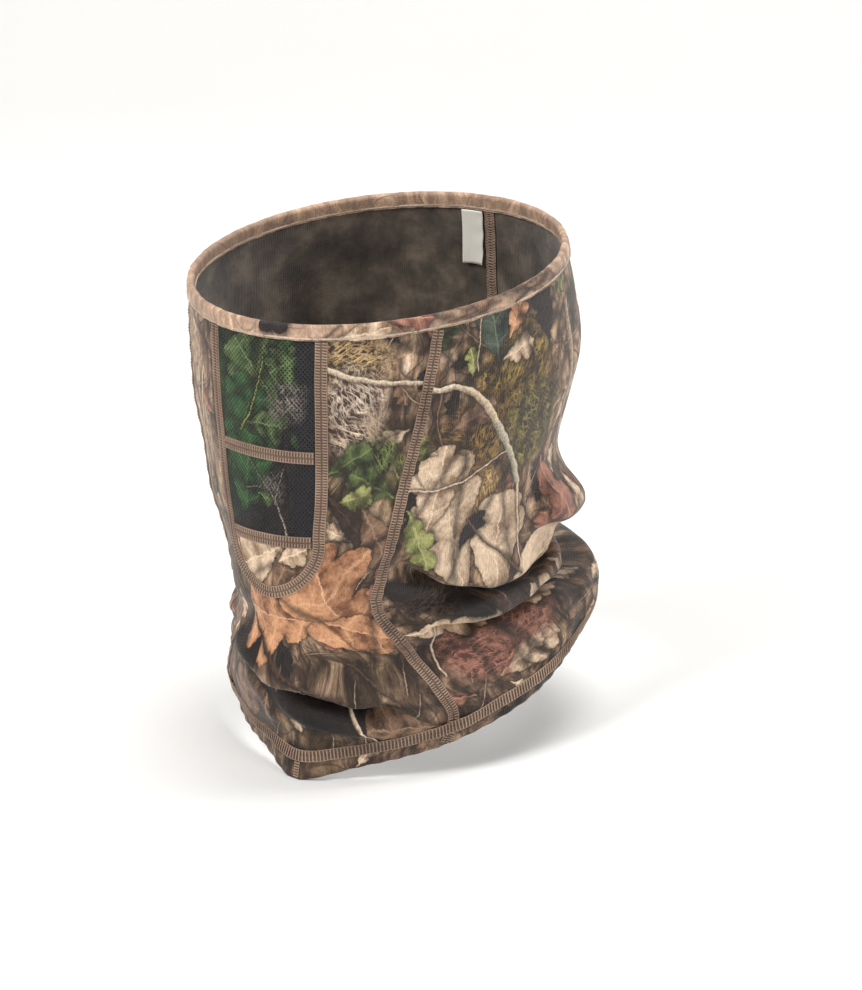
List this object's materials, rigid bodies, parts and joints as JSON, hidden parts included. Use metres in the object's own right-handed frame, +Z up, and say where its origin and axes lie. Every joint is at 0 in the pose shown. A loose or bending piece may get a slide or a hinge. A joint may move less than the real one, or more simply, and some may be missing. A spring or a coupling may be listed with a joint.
{
  "type": "camouflage face mask",
  "caption": "Stretch camouflage face mask, from nose bridge to chest, with a mesh window over nose and mouth, shown in its worn shape.",
  "frame": {"origin": "the middle of the wearer's head at the height of the front of the top edge, where the head holds the mask", "axes": "+Z up, -Y the way the face looks, +X the wearer's left"},
  "size_m": [0.163, 0.2158, 0.2296],
  "materials": {
    "camo_jersey": "printed stretch polyester jersey, soft satin, leaf and bark camouflage",
    "camo_mesh": "printed fine knitted mesh, dull",
    "camo_binding": "printed stretch binding, soft satin",
    "knitted_elastic": "ribbed knitted elastic, dull",
    "seam_thread": "brown polyester flatlock thread, slight sheen",
    "satin_label": "blank woven satin, glossy"
  },
  "bodies": {
    "root": {"nose_mesh_panel": "camo_mesh", "mouth_mesh_panel": "camo_mesh", "chin_panel": "camo_jersey", "front_panel": "camo_jersey", "left_back_panel": "camo_jersey", "right_back_panel": "camo_jersey", "top_hem_binding": "camo_binding", "top_hem_elastic": "knitted_elastic", "care_label": "satin_label", "window_seam_face_thread": "seam_thread", "window_seam_inside_thread": "seam_thread", "cross_seam_face_thread": "seam_thread", "cross_seam_inside_thread": "seam_thread", "chin_seam_face_thread": "seam_thread", "chin_seam_inside_thread": "seam_thread", "left_side_seam_face_thread": "seam_thread", "left_side_seam_inside_thread": "seam_thread", "right_side_seam_face_thread": "seam_thread", "right_side_seam_inside_thread": "seam_thread", "centre_back_seam_face_thread": "seam_thread", "centre_back_seam_inside_thread": "seam_thread", "top_hem_stitching_face_thread": "seam_thread", "top_hem_stitching_inside_thread": "seam_thread", "bottom_hem_stitching_face_thread": "seam_thread", "bottom_hem_stitching_inside_thread": "seam_thread", "hem_point_seam_face_thread": "seam_thread", "hem_point_seam_inside_thread": "seam_thread"}
  },
  "joints": []
}
